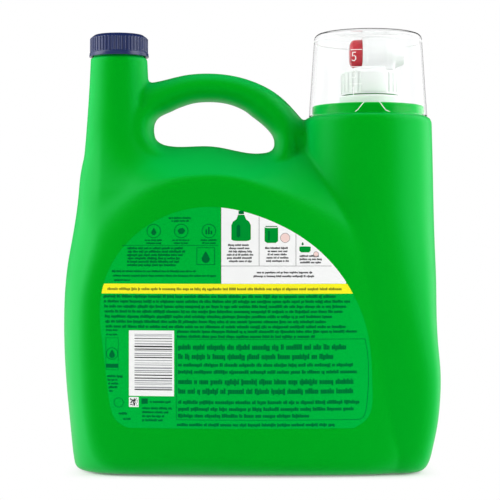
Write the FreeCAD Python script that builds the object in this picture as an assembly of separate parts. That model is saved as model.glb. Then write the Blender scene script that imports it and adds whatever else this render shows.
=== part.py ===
import FreeCAD, Part
import math
import os

from FreeCAD import Vector

# Five-litre-class laundry bottle: X runs along the wide face, Y from the
# face with the usage label (-Y) to the display face (+Y), Z up. Millimetres, origin under the
# middle of the base. The bottle is blow-moulded in one piece with its hollow handle.

os.makedirs("parts", exist_ok=True)

# Bottle shell
wall = 1.3
half_width = 131.4           # middle of the bottle to its left side
half_depth = 53.0            # parting plane to the middle of a labelled face
face_radius = 470.0          # the labelled faces bulge slightly, about upright axes
side_margin = 7.0            # the ellipse that the sides follow reaches this far past the faces
side_roundness = half_depth + side_margin
ridge_half_width = 12.0      # half-width of the blunt ridge on top of the shoulder
base_recess_depth = 2.5
base_recess_rim = 16.0       # width of the foot around the recess
base_recess_taper = 3.0
base_inset_x = 13.4          # the foot's edge lies this far in from the sides
base_inset_y = 10.0
base_squareness = 5.0

# Column under the tap, with the ring that the cup fits over
column_top = 245.3
column_inset = 50.4          # column's axis from the right side
column_x = half_width - column_inset
column_edge_radius = 2.5
seat_ring_radius = 38.9
seat_ring_height = 7.4
seat_ring_edge = 1.2

# Dosing cup
cup_wall = 1.5
cup_clearance = 0.85         # between the seat ring and the cup's rim
cup_rim_radius = seat_ring_radius + cup_clearance + cup_wall
cup_taper = 3.65
cup_top_radius = cup_rim_radius - cup_taper
cup_dome = 0.8
cup_edge = 4.0
cup_gap = 0.3
cup_headroom = 0.7           # between the tap and the cup's inside
notch_height = 7.3
notch_rim_width = 23.7
notch_top_width = 9.0
column_ledge = 2.95          # the column's top stands out this far past the cup
column_top_radius = cup_rim_radius + column_ledge

# Both threaded finishes
finish_radius = 17.6
finish_wall = 2.3
finish_bore = finish_radius - finish_wall

# Vent neck
vent_inset = 38.2            # tower's axis from the left side
vent_x = vent_inset - half_width
vent_rise = 41.7
vent_top = column_top + vent_rise    # top of the tapered tower, where the finish starts
tower_shoulder = 2.1
vent_tower_radius = finish_radius + tower_shoulder

# Vent cap and its liner
cap_wall = 1.5
cap_clearance = 0.9
cap_skirt_radius = finish_radius + cap_clearance + cap_wall
cap_rim_flare = 0.8
cap_height = 15.2
cap_rib_count = 60
cap_rib_height = 0.5
cap_band_height = 5.0        # smooth band below the ribs
cap_top_edge = 1.6
cap_rim_gap = 0.3
liner_clearance = 0.3
liner_thickness = 1.0
vent_finish_top = vent_top + cap_rim_gap + cap_height - cap_wall - liner_thickness

# Tap neck and collar
tap_offset = 1.5
tap_x = column_x + tap_offset
tap_bead_rise = 10.7
tap_bead_bottom = column_top + tap_bead_rise
tap_bead_height = 3.6
tap_bead_width = 3.8
tap_neck_height = 26.5
tap_neck_top = column_top + tap_neck_height
gasket_thickness = 1.4
tap_flange_thickness = 1.8
collar_gap = 0.8
collar_bottom = tap_bead_bottom + tap_bead_height + collar_gap
collar_clearance = 0.8
collar_wall = 1.5
collar_radius = finish_radius + collar_clearance + collar_wall
collar_lip = 1.8
collar_top_edge = 1.0
collar_top = tap_neck_top + gasket_thickness + tap_flange_thickness + collar_lip
collar_grip_margin = 1.5     # plain edge above and below the ribs
collar_ribs_per_side = 10
collar_rib_width = 1.5
collar_rib_height = 0.5
collar_pad_angle = 4.0       # middle of the smooth grip pad, from the front
collar_pad_width = 55.0

# Button, stem, seal and spring
stem_radius = 2.0
stem_clearance = 0.08
stem_tip = 0.8
stem_head_width = 1.2
button_bore = 10.5
button_clearance = 0.3
button_radius = button_bore - button_clearance
button_wall = 1.5
button_face = 2.3            # thickness of the button's middle
button_length = 10.5
button_edge = 5.0
button_travel = 4.5
button_hub_width = 3.0
seat_hole = 4.2
seat_thickness = 1.5
seal_overlap = 1.0
seal_radius = seat_hole + seal_overlap
seal_thickness = 1.6
guide_thickness = 1.5
o_ring_step = 0.2
o_ring_thickness = guide_thickness - o_ring_step
o_ring_width = 1.6
o_ring_radius = stem_radius + o_ring_width
spring_wire = 0.9
spring_clearance = 0.55
spring_radius = stem_radius + button_hub_width + spring_clearance + spring_wire / 2
spring_turns = 4.0

# Tap body, from the round post in the collar's lip to the spout
post_radius = 12.8
post_clearance = 0.3
post_root = 1.6
riser_bore = 4.6
riser_wall = 1.3
riser_x = tap_x + post_radius - riser_wall - riser_bore
guide_gap = 0.3
guide_start = riser_x - riser_bore - guide_gap - guide_thickness
chamber_margin = 2.0
chamber_end = riser_x + riser_bore + chamber_margin
chamber_bore = 8.6
button_start = guide_start - button_travel - button_length
button_bore_depth = 6.3
barrel_start = guide_start - button_bore_depth
barrel_wall = 1.1
barrel_radius = button_bore + barrel_wall
barrel_gap = 1.0
barrel_z = collar_top + barrel_gap + barrel_radius
cone_lead = 2.6              # the cone starts this far before the seat
cone_start = chamber_end - cone_lead
cone_bulge = 0.8
spout_length = 8.8
spout_end = chamber_end + seat_thickness + spout_length
spout_clearance = 0.6
spout_bore = seal_radius + spout_clearance
spout_wall = 1.5
spout_radius = spout_bore + spout_wall
saddle_overhang = 2.7
saddle_end = chamber_end + saddle_overhang
saddle_half_width = 8.5
saddle_gap = 0.4             # air between the collar and the saddle over it
flange_clearance = 0.4
skirt_length = 7.0
skirt_wall = 1.3
skirt_clearance = 0.15
cup_bottom = column_top + cup_gap
cup_height = barrel_z + barrel_radius + cup_headroom + cup_wall - cup_bottom

# Labels and filling
label_thickness = 0.2
label_gap = 0.02
headspace = 37.3
fill_level = column_top - headspace
fill_clearance = 0.25

# The tables are drawn for these two measures, and at_x and at_z stretch them to the bottle's own.
drawn_half_width = 131.4
drawn_column_top = 245.3

# Each pair is a point of the silhouette in the parting plane and the point of the panel's edge
# that it runs to, both as (X, Z), anticlockwise from the bottom.
BODY_OUTLINE = [
    ((-88, -40), (-84, 8)),
    ((0, -40), (0, 8)),
    ((85, -40), (78, 8)),
    ((108, -26), (91, 11)),
    ((120, 30), (96.7, 32)),
    ((120, 85), (94.7, 85.6)),
    ((117, 119), (86.6, 119.1)),
    ((108, 165), (69.8, 153.8)),
    ((82, 208), (50, 172)),
    ((46, 229), (33, 183.5)),
    ((24, 224.5), (15, 192)),
    ((6, 219), (-5, 199)),
    ((-28, 222.5), (-29, 202)),
    ((-62, 226), (-55, 199)),
    ((-95, 236), (-77, 186.5)),
    ((-114.5, 222), (-93, 170)),
    ((-121.5, 187), (-104.5, 153)),
    ((-128.5, 145), (-112.5, 125)),
    ((-131.4, 100), (-113.8, 92)),
    ((-129.3, 55), (-111.7, 52)),
    ((-126.2, 23), (-108.5, 27)),
    ((-120, -9), (-101, 11.5)),
]

# Column sections from the base up: height, half-width as a share of the top's radius, half-depth
# as a share of the bottle's, squareness
COLUMN_SECTIONS = [
    (-6.0, 0.747, 0.528, 4.0),
    (5.0, 0.930, 0.698, 4.4),
    (16.0, 1.014, 0.774, 4.8),
    (32.0, 1.090, 0.815, 5.0),
    (50.0, 1.136, 0.834, 5.0),
    (68.0, 1.138, 0.845, 4.8),
    (88.0, 1.095, 0.857, 4.2),
    (108.0, 1.072, 0.868, 3.3),
    (130.0, 1.063, 0.875, 2.6),
    (155.0, 1.050, 0.875, 2.2),
    (180.0, 1.036, 0.864, 2.0),
    (204.0, 1.025, 0.855, 2.0),
    (226.0, 1.014, 0.845, 2.0),
]

# Vent tower profile below its top: height, radius
TOWER_PROFILE = [
    (150.0, 33.0),
    (185.0, 28.4),
    (215.0, 24.6),
    (243.0, 22.2),
    (266.0, 20.7),
]

# Handle and the rolled edges at its two roots: X, Z, half-height, half-depth along each tube
HANDLE_CREST = [
    (-92, 249, 9.0, 12.0),
    (-76, 257, 10.5, 14.5),
    (-61, 260.2, 10.9, 16.5),
    (-46, 264.5, 10.2, 17.3),
    (-31, 266, 9.9, 17.5),
    (-14, 264.2, 10.0, 17.5),
    (-1, 259.6, 10.6, 17.3),
    (11, 252.3, 11.2, 17.0),
    (25.5, 238.5, 10.6, 15.5),
    (40, 223, 9.5, 13.0),
]
HANDLE_LEFT_ROOT = [
    (-62, 257, 8.0, 15.0),
    (-73.5, 249, 8.6, 17.0),
    (-78, 237, 8.8, 18.5),
    (-74, 224, 8.4, 20.0),
    (-60, 212, 7.0, 19.0),
]
HANDLE_RIGHT_ROOT = [
    (6, 253, 8.0, 15.0),
    (17.5, 244, 8.6, 16.5),
    (23.8, 231, 8.6, 18.0),
    (21, 216, 8.2, 20.0),
    (8, 205, 7.0, 19.0),
]

# Label outline from the lower right corner up and over to the lower left, as (X, Z)
LABEL_BOTTOM = 33.2
LABEL_OUTLINE = [
    (68, LABEL_BOTTOM),
    (77, 39.5),
    (80.6, 60),
    (78.4, 92),
    (67.1, 124),
    (44.7, 152.2),
    (10, 173),
    (-34.7, 181),
    (-70, 169),
    (-94, 144),
    (-102.4, 118),
    (-100.5, 85.6),
    (-96.5, 52),
    (-91.5, 38),
    (-84, LABEL_BOTTOM),
]


def at_x(x):
    """A drawn X, stretched to the bottle's width."""
    return x * half_width / drawn_half_width


def at_z(z):
    """A drawn height, stretched to the bottle's height."""
    return z * column_top / drawn_column_top


def box(low, high):
    """Box between two corners."""
    size = [h - l for l, h in zip(low, high)]
    return Part.makeBox(*size, Vector(*low))


def slab(low, high):
    """Everything between two heights, past every side of the bottle."""
    reach = 2 * half_width
    return box((-reach, -reach, low), (reach, reach, high))


def cylinder(radius, low, high, x, y=0.0):
    """Upright cylinder from low to high."""
    return Part.makeCylinder(radius, high - low, Vector(x, y, low))


def rod(radius, start, end, z, y=0.0):
    """Cylinder along X from start to end."""
    return Part.makeCylinder(radius, end - start, Vector(start, y, z), Vector(1, 0, 0))


def turned(profile, axis_x, sweep=360):
    """Solid of revolution about an upright axis, from (radius, height) points."""
    points = [Vector(axis_x + r, 0, z) for r, z in profile]
    face = Part.Face(Part.makePolygon(points + points[:1]))
    return face.revolve(Vector(axis_x, 0, 0), Vector(0, 0, 1), sweep)


def turned_along_x(profile, axis_z):
    """Solid of revolution about an axis along X, from (x, radius) points."""
    points = [Vector(x, 0, axis_z + r) for x, r in profile]
    face = Part.Face(Part.makePolygon(points + points[:1]))
    return face.revolve(Vector(0, 0, axis_z), Vector(1, 0, 0), 360)


def closed_curve(points, parameters):
    """Wire of one smooth closed curve through the points."""
    curve = Part.BSplineCurve()
    curve.interpolate(Points=points, PeriodicFlag=True, Parameters=parameters)
    return Part.Wire([curve.toShape()])


def chord_parameters(points):
    """Curve parameters of a closed run of points, by the distance along it."""
    values = [0.0]
    for a, b in zip(points, points[1:] + points[:1]):
        values.append(values[-1] + math.dist(a, b))
    return values


def inset_points(points, inset):
    """Closed anticlockwise (X, Z) outline moved inwards by the inset."""
    moved = []
    count = len(points)
    for i, (x, z) in enumerate(points):
        before = points[i - 1]
        after = points[(i + 1) % count]
        along = (after[0] - before[0], after[1] - before[1])
        length = math.hypot(*along)
        moved.append((x - inset * along[1] / length, z + inset * along[0] / length))
    return moved


def face_depth(x):
    """Distance of a labelled face from the parting plane, at X."""
    return half_depth - face_radius + math.sqrt(face_radius**2 - x**2)


def side_share(y):
    """How far the sides have come in at depth y."""
    return 1 - math.sqrt(1 - (y / side_roundness) ** 2)


def roof_share(y):
    """How far the shoulder and the base edge have come in at depth y: blunt ridge, then a slope."""
    start = ridge_half_width
    ridge = 0.35
    slope = 0.7
    if y <= start:
        return ridge * (y / start) ** 2
    return ridge + slope * (y - start) / start


def main_body(inset):
    """Main volume under the handle: outlines from face to face, cut by the two bulging faces."""
    overrun = 1.5
    depth_end = half_depth + overrun
    shares = [0.2, 0.42, 0.62, 0.8, 0.93, 1.0]
    levels = [-s for s in reversed(shares)] + [0.0] + shares
    silhouette = inset_points([(at_x(x), at_z(z)) for (x, z), _ in BODY_OUTLINE], inset)
    edge = inset_points([(at_x(x), at_z(z)) for _, (x, z) in BODY_OUTLINE], inset)
    parameters = chord_parameters(silhouette)
    wires = []
    for level in levels:
        y = level * depth_end
        points = []
        for (sx, sz), (ex, ez) in zip(silhouette, edge):
            reach = face_depth(ex) - inset
            side = side_share(abs(y)) / side_share(reach)
            roof = roof_share(abs(y)) / roof_share(reach)
            points.append(Vector(sx + (ex - sx) * side, y, sz + (ez - sz) * roof))
        wires.append(closed_curve(points, parameters))
    volume = Part.makeLoft(wires, True, False, False)
    return volume.common(face_prism(inset))


def face_prism(inset):
    """Everything between the two bulging faces."""
    reach = 1.5 * half_width
    margin = 45.0
    floor = -margin
    radius = face_radius - inset
    drop = radius - math.sqrt(radius**2 - reach**2)
    front = -(half_depth - inset)
    ends = front + drop
    near = Part.Arc(Vector(-reach, ends, floor), Vector(0, front, floor), Vector(reach, ends, floor))
    far = Part.Arc(Vector(reach, -ends, floor), Vector(0, -front, floor), Vector(-reach, -ends, floor))
    right = Part.makeLine(Vector(reach, ends, floor), Vector(reach, -ends, floor))
    left = Part.makeLine(Vector(-reach, -ends, floor), Vector(-reach, ends, floor))
    outline = Part.Wire([near.toShape(), right, far.toShape(), left])
    return Part.Face(outline).extrude(Vector(0, 0, column_top + margin - floor))


def oval(center, across, half_across, half_y, squareness, count=24):
    """Closed superellipse wire in the plane of Y and the direction across."""
    points = []
    for i in range(count):
        angle = 2 * math.pi * (i + 0.5) / count
        c = math.cos(angle)
        s = math.sin(angle)
        reach = (abs(c) ** squareness + abs(s) ** squareness) ** (-1 / squareness)
        points.append(center + across * (half_across * reach * c) + Vector(0, half_y * reach * s, 0))
    return closed_curve(points, [float(i) for i in range(count + 1)])


def column(inset):
    """Column under the tap: round at the top, a rounded square at the base."""
    wires = []
    along = Vector(1, 0, 0)
    for z, width_share, depth_share, squareness in COLUMN_SECTIONS:
        half_x = width_share * column_top_radius - inset
        half_y = depth_share * half_depth - inset
        wires.append(oval(Vector(column_x, 0, at_z(z)), along, half_x, half_y, squareness))
    radius = column_top_radius - inset
    wires.append(oval(Vector(column_x, 0, column_top - inset), along, radius, radius, 2.0))
    return Part.makeLoft(wires, True, False, False)


def tower(inset):
    """Tapered tower under the vent cap."""
    rows = [(at_z(z), radius) for z, radius in TOWER_PROFILE] + [(vent_top, vent_tower_radius)]
    curve = Part.BSplineCurve()
    curve.interpolate(Points=[Vector(vent_x + r - inset, 0, z) for z, r in rows])
    start = Vector(vent_x, 0, rows[0][0])
    end = Vector(vent_x, 0, vent_top)
    edges = [
        Part.makeLine(start, curve.StartPoint),
        curve.toShape(),
        Part.makeLine(curve.EndPoint, end),
        Part.makeLine(end, start),
    ]
    solid = Part.Face(Part.Wire(edges)).revolve(start, Vector(0, 0, 1), 360)
    return solid.common(slab(0, vent_top - inset))


def tube(path, inset):
    """Oval tube along a drawn path in the parting plane."""
    squareness = 2.2
    path = [(at_x(x), at_z(z), half_height, half_y) for x, z, half_height, half_y in path]
    wires = []
    last = len(path) - 1
    for i, (x, z, half_height, half_y) in enumerate(path):
        before = path[max(i - 1, 0)]
        after = path[min(i + 1, last)]
        along = Vector(after[0] - before[0], 0, after[1] - before[1]).normalize()
        across = along.cross(Vector(0, 1, 0))
        wires.append(oval(Vector(x, 0, z), across, half_height - inset, half_y - inset, squareness, 16))
    return Part.makeLoft(wires, True, False, False)


def body_volume(inset):
    """The bottle's whole moulded volume up to its shoulders, moved inwards by the inset."""
    volume = main_body(inset)
    for other in (
        column(inset),
        tower(inset),
        tube(HANDLE_CREST, inset),
        tube(HANDLE_LEFT_ROOT, inset),
        tube(HANDLE_RIGHT_ROOT, inset),
    ):
        volume = volume.fuse(other)
    return volume.common(slab(inset, vent_top))


def ring(outer, inner, low, high, x):
    """Upright tube about X = x, from low to high."""
    return cylinder(outer, low, high, x).cut(cylinder(inner, low - 1, high + 1, x))


def base_recess(inset):
    """Shallow hollow under the base, inside the foot that the bottle stands on."""
    margin = base_recess_rim - inset
    half_x = half_width - base_inset_x - margin
    half_y = half_depth - base_inset_y - margin
    wires = []
    for z, taper in ((-1.0, 0.0), (base_recess_depth + inset, base_recess_taper)):
        wires.append(oval(Vector(0, 0, z), Vector(1, 0, 0), half_x - taper, half_y - taper, base_squareness))
    return Part.makeLoft(wires, True, True, False)


def neck_outside():
    """What stands on the shoulders: cup seat ring, both threaded finishes and the tap bead."""
    root = 2.0
    seat_top = column_top + seat_ring_height
    seat = turned(
        [
            (0, column_top - root),
            (seat_ring_radius, column_top - root),
            (seat_ring_radius, seat_top - seat_ring_edge),
            (seat_ring_radius - seat_ring_edge, seat_top),
            (0, seat_top),
        ],
        column_x,
    )
    bead_top = tap_bead_bottom + tap_bead_height
    bead_radius = finish_radius + tap_bead_width
    tap_neck = turned(
        [
            (0, column_top),
            (finish_radius, column_top),
            (finish_radius, tap_bead_bottom),
            (bead_radius, tap_bead_bottom),
            (bead_radius, bead_top),
            (finish_radius, bead_top),
            (finish_radius, tap_neck_top),
            (0, tap_neck_top),
        ],
        tap_x,
    )
    vent_neck = cylinder(finish_radius, vent_top - root, vent_finish_top, vent_x)
    return [seat, tap_neck, vent_neck]


def bores():
    """Ways through the two necks into the hollow of the bottle."""
    deep = 8.0
    vent = cylinder(finish_bore, vent_top - deep, vent_finish_top + 1, vent_x)
    tap = cylinder(finish_bore, column_top - deep, tap_neck_top + 1, tap_x)
    return [vent, tap]


def rounded_column_edge(shape):
    """Rolls the rim of the column's flat top."""
    rim = [
        edge
        for edge in shape.Edges
        if abs(edge.BoundBox.ZMin - column_top) < 0.01
        and abs(edge.BoundBox.ZMax - column_top) < 0.01
        and edge.BoundBox.XMax > column_x + column_top_radius - 1
    ]
    return shape.makeFillet(column_edge_radius, rim)


def bottle_body():
    """Blow-moulded bottle: shoulders, hollow handle, tower, column, both necks."""
    outer = rounded_column_edge(body_volume(0.0))
    for piece in neck_outside():
        outer = outer.fuse(piece)
    cavity = body_volume(wall).cut(base_recess(wall))
    for bore in bores():
        cavity = cavity.fuse(bore)
    return outer.cut(base_recess(0.0)).cut(cavity)


def detergent():
    """The liquid: the bottle's hollow up to the fill level, a hair inside its wall."""
    inset = wall + fill_clearance
    liquid = body_volume(inset).cut(base_recess(inset))
    return liquid.common(slab(0, fill_level))


def label(side):
    """Film on one labelled face: side -1 is the usage label, side +1 the display label."""
    outline = [Vector(at_x(x), 0, at_z(z)) for x, z in LABEL_OUTLINE]
    curve = Part.BSplineCurve()
    curve.interpolate(Points=outline)
    wire = Part.Wire([curve.toShape(), Part.makeLine(outline[-1], outline[0])])
    block = Part.Face(wire).extrude(Vector(0, side * 1.2 * half_depth, 0))
    return block.common(face_prism(-label_gap - label_thickness)).cut(face_prism(-label_gap))


def ribs(angles, width, radius, height, low, high, x):
    """Small upright ribs around a circle, sunk into the wall that carries them."""
    root = 0.4
    made = []
    for angle in angles:
        rib = box((radius - root, -width / 2, low), (radius + height, width / 2, high))
        rib.rotate(Vector(0, 0, 0), Vector(0, 0, 1), angle)
        rib.translate(Vector(x, 0, 0))
        made.append(rib)
    return made


def vent_cap():
    """Screw cap of the vent neck, ribbed above a smooth band."""
    low = vent_top + cap_rim_gap
    high = low + cap_height
    band = low + cap_band_height
    inner = cap_skirt_radius - cap_wall
    shell = turned(
        [
            (0, high),
            (0, high - cap_wall),
            (inner, high - cap_wall),
            (inner, low),
            (cap_skirt_radius + cap_rim_flare, low),
            (cap_skirt_radius + cap_rib_height, band),
            (cap_skirt_radius, band),
            (cap_skirt_radius, high - cap_top_edge),
            (cap_skirt_radius - cap_top_edge, high),
        ],
        vent_x,
    )
    pitch = 360.0 / cap_rib_count
    rib_share = 0.45
    rib_width = rib_share * math.radians(pitch) * cap_skirt_radius
    angles = [pitch * i for i in range(cap_rib_count)]
    grip = ribs(angles, rib_width, cap_skirt_radius, cap_rib_height, band, high - cap_top_edge, vent_x)
    return shell.fuse(grip)


def vent_liner():
    """Sealing disc between the vent neck and its cap."""
    radius = cap_skirt_radius - cap_wall - liner_clearance
    return cylinder(radius, vent_finish_top, vent_finish_top + liner_thickness, vent_x)


def tap_collar():
    """Screw collar that clamps the tap on its neck: ribs between two smooth grip pads."""
    lip_hole = post_radius + post_clearance
    inner = collar_radius - collar_wall
    solid = turned(
        [
            (inner, collar_bottom),
            (collar_radius, collar_bottom),
            (collar_radius, collar_top - collar_top_edge),
            (collar_radius - collar_top_edge, collar_top),
            (lip_hole, collar_top),
            (lip_hole, collar_top - collar_lip),
            (inner, collar_top - collar_lip),
        ],
        tap_x,
    )
    low = collar_bottom + collar_grip_margin
    high = collar_top - collar_grip_margin
    outer = collar_radius + collar_rib_height
    middle = collar_radius - collar_wall / 2
    pitch = (180 - collar_pad_width) / collar_ribs_per_side
    for side in (90, 270):
        pad = turned([(middle, low), (outer, low), (outer, high), (middle, high)], tap_x, collar_pad_width)
        pad_start = side + collar_pad_angle - collar_pad_width / 2
        pad.rotate(Vector(tap_x, 0, 0), Vector(0, 0, 1), pad_start)
        first_rib = pad_start + collar_pad_width + pitch / 2
        angles = [first_rib + pitch * i for i in range(collar_ribs_per_side)]
        grip = ribs(angles, collar_rib_width, collar_radius, collar_rib_height, low, high, tap_x)
        solid = solid.fuse([pad] + grip)
    return solid


def tap_gasket():
    """Flat ring that seals the tap's flange on the neck."""
    outer = finish_radius - 0.3
    return ring(outer, finish_bore, tap_neck_top, tap_neck_top + gasket_thickness, tap_x)


def tap_body():
    """Tap housing: flange and skirt on the neck, riser, barrel, stem guide, seat and spout."""
    flange_low = tap_neck_top + gasket_thickness
    flange_high = flange_low + tap_flange_thickness
    flange = cylinder(collar_radius - collar_wall - flange_clearance, flange_low, flange_high, tap_x)
    skirt_radius = finish_bore - skirt_clearance
    skirt = ring(skirt_radius, skirt_radius - skirt_wall, flange_low - skirt_length, flange_low, tap_x)
    post = cylinder(post_radius, flange_low, collar_top + saddle_gap + post_root, tap_x)
    saddle = box(
        (barrel_start, -saddle_half_width, collar_top + saddle_gap),
        (saddle_end, saddle_half_width, barrel_z),
    )
    bend_share = 0.45
    bend = cone_start + bend_share * (spout_end - cone_start)
    barrel = turned_along_x(
        [
            (barrel_start, 0),
            (barrel_start, barrel_radius),
            (cone_start, barrel_radius),
            (bend, (barrel_radius + spout_radius) / 2 + cone_bulge),
            (spout_end, spout_radius),
            (spout_end, 0),
        ],
        barrel_z,
    )
    solid = flange.fuse([skirt, post, saddle, barrel]).removeSplitter()
    guide_end = guide_start + guide_thickness
    seat_end = chamber_end + seat_thickness
    hollows = [
        rod(button_bore, barrel_start - 1, guide_start, barrel_z),
        rod(stem_radius + stem_clearance, guide_start - 1, guide_end + 1, barrel_z),
        rod(chamber_bore, guide_end, chamber_end, barrel_z),
        rod(o_ring_radius, guide_end - o_ring_thickness, guide_end + 1, barrel_z),
        rod(seat_hole, chamber_end - 1, seat_end + 1, barrel_z),
        rod(spout_bore, seat_end, spout_end + 1, barrel_z),
        cylinder(riser_bore, flange_low - 1, barrel_z, riser_x),
    ]
    return solid.cut(hollows)


def tap_button():
    """Red push button: a domed cup with a hub for the stem, which slides in the barrel."""
    steps = 6
    dome = [(button_start, 0)]
    for i in range(steps + 1):
        angle = math.pi / 2 * i / steps
        x = button_start + button_edge * (1 - math.cos(angle))
        dome.append((x, button_radius - button_edge * (1 - math.sin(angle))))
    end = button_start + button_length
    inner = button_radius - button_wall
    hub = stem_radius + button_hub_width
    profile = dome + [
        (end, button_radius),
        (end, inner),
        (button_start + button_edge, inner),
        (button_start + button_edge, hub),
        (button_start + button_face, hub),
        (button_start + button_face, 0),
    ]
    return turned_along_x(profile, barrel_z)


def stem_end():
    """Where the stem ends, just past the seal."""
    return chamber_end + seat_thickness + seal_thickness + stem_tip


def tap_stem():
    """Stem from the button through the guide to the seal."""
    shaft = rod(stem_radius, button_start + button_face, stem_end(), barrel_z)
    head = rod(stem_radius + stem_head_width, stem_end() - stem_tip, stem_end(), barrel_z)
    return shaft.fuse(head).removeSplitter()


def tap_seal():
    """Rubber disc on the stem that closes the seat."""
    start = chamber_end + seat_thickness
    disc = rod(seal_radius, start, start + seal_thickness, barrel_z)
    return disc.cut(rod(stem_radius, start - 1, start + seal_thickness + 1, barrel_z))


def stem_o_ring():
    """Ring in the guide that keeps liquid out of the button bore."""
    end = guide_start + guide_thickness
    start = end - o_ring_thickness
    outer = rod(o_ring_radius, start, end, barrel_z)
    return outer.cut(rod(stem_radius + stem_clearance, start - 1, end + 1, barrel_z))


def tap_spring():
    """Coil spring between the button and the guide."""
    start = button_start + button_edge + spring_wire / 2
    end = guide_start - spring_wire / 2
    pitch = (end - start) / spring_turns
    helix = Part.makeHelix(pitch, end - start, spring_radius)
    section = Part.Wire([Part.makeCircle(spring_wire / 2, Vector(spring_radius, 0, 0), Vector(0, 1, 0))])
    coil = Part.Wire(helix).makePipeShell([section], True, True)
    coil.rotate(Vector(0, 0, 0), Vector(0, 1, 0), 90)
    coil.translate(Vector(start, 0, barrel_z))
    return coil


def dosing_cup():
    """Clear cup that stands upside down over the tap, with a notch in its rim."""
    side_top = cup_bottom + cup_height - cup_edge
    steps = 5

    def profile(inset):
        side = cup_top_radius - inset
        edge = cup_edge - inset
        points = [(0, cup_bottom), (cup_rim_radius - inset, cup_bottom), (side, side_top)]
        for i in range(1, steps + 1):
            angle = math.pi / 2 * i / steps
            points.append((side - edge * (1 - math.cos(angle)), side_top + edge * math.sin(angle)))
        points.append((0, side_top + edge + cup_dome))
        return points

    shell = turned(profile(0.0), column_x).cut(turned(profile(cup_wall), column_x))
    front = -cup_rim_radius - 1
    notch_points = [
        (-notch_rim_width / 2, -1.0),
        (notch_rim_width / 2, -1.0),
        (notch_top_width / 2, notch_height),
        (-notch_top_width / 2, notch_height),
    ]
    corners = [Vector(column_x + x, front, cup_bottom + z) for x, z in notch_points]
    notch = Part.Face(Part.makePolygon(corners + corners[:1])).extrude(Vector(0, cup_rim_radius, 0))
    return shell.cut(notch)


def save(name, shape):
    """Write one named piece."""
    solids = shape.Solids
    if len(solids) == 1:
        shape = solids[0]
    shape.exportStep("parts/" + name + ".step")
    state = "valid" if shape.isValid() else "BAD"
    print(name, len(solids), "solid", round(shape.Volume / 1000, 3), "ml", state)


PIECES = {
    "bottle_body": bottle_body,
    "usage_label": lambda: label(-1),
    "display_label": lambda: label(1),
    "detergent": detergent,
    "vent_cap": vent_cap,
    "vent_cap_liner": vent_liner,
    "tap_collar": tap_collar,
    "tap_gasket": tap_gasket,
    "tap_body": tap_body,
    "tap_button": tap_button,
    "tap_stem": tap_stem,
    "tap_seal": tap_seal,
    "stem_o_ring": stem_o_ring,
    "tap_spring": tap_spring,
    "dosing_cup": dosing_cup,
}

for piece_name, make in PIECES.items():
    save(piece_name, make())
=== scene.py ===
import math

import bpy
import numpy as np
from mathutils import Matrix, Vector


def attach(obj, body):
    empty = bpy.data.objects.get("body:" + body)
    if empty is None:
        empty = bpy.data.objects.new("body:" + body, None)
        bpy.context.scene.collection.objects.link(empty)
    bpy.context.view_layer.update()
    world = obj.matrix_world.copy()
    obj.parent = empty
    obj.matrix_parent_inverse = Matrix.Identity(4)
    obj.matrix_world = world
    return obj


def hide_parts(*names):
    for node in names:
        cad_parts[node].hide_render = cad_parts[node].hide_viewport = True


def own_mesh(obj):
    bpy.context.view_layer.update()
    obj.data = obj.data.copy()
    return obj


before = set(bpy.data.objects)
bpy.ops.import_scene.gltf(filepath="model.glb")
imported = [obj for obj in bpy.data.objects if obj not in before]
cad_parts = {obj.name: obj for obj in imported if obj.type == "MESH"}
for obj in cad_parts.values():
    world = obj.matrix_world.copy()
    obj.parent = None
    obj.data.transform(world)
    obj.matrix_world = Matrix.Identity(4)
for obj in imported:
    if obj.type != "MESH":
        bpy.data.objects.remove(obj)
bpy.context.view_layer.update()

# Lengths in this script are millimetres; MM turns them into the frame's metres
MM = 0.001
rng = np.random.default_rng(7)

# The moulded form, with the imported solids' own measures
HALF_DEPTH = 53.0
FACE_RADIUS = 470.0
SIDE_ROUNDNESS = 60.0
RIDGE_HALF_WIDTH = 12.0
COLUMN_X = 81.0
COLUMN_TOP = 245.3
VENT_X = -93.2
VENT_TOP = 287.0
TAP_X = 82.5
FINISH_RADIUS = 17.6
FINISH_BORE = 15.3
VENT_FINISH_TOP = 300.0
TAP_NECK_TOP = 271.8
FILL_LEVEL = 208.0
THREAD_PITCH = 4.23
TAP_AXIS_HEIGHT = 289.4
RECESS_INSET = 16.0
RECESS_DEPTH = 2.5

# Camera: distance, height and place across, and focal length as a share of the picture's width
DISTANCE = 1105.0
EYE_HEIGHT = 152.5
EYE_SIDE = -1.54
FOCAL_SHARE = 1578 / 500
SENSOR_WIDTH = 36.0

# Grids of the skin and of the detergent, and how far inside the skin the detergent begins
SKIN_STEP = 1.8
LIQUID_STEP = 3.0
WALL = 2.2

# World: share of white that reflections find in front and behind, and the light on matt surfaces
WORLD_FRONT = 0.05
WORLD_BEHIND = 0.1
WORLD_FILL = 0.505

# Main volume: corners of its silhouette, each with its place on the edge of the flat faces, as (X, Z)
BODY_OUTLINE = [
    ((-88, -40), (-84, 8)),
    ((0, -40), (0, 8)),
    ((85, -40), (78, 8)),
    ((108, -26), (91, 11)),
    ((120, 30), (96.7, 32)),
    ((120, 85), (94.7, 85.6)),
    ((117, 119), (86.6, 119.1)),
    ((108, 165), (69.8, 153.8)),
    ((82, 208), (50, 172)),
    ((46, 229), (33, 183.5)),
    ((24, 224.5), (15, 192)),
    ((5, 220), (-5, 199)),
    ((-28, 225), (-29, 202)),
    ((-62, 226), (-55, 199)),
    ((-95, 236), (-77, 186.5)),
    ((-114.5, 222), (-93, 170)),
    ((-121.5, 187), (-104.5, 153)),
    ((-128.5, 145), (-112.5, 125)),
    ((-131.4, 100), (-113.8, 92)),
    ((-129.3, 55), (-111.7, 52)),
    ((-126.2, 23), (-108.5, 27)),
    ((-120, -9), (-101, 11.5)),
]

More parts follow.
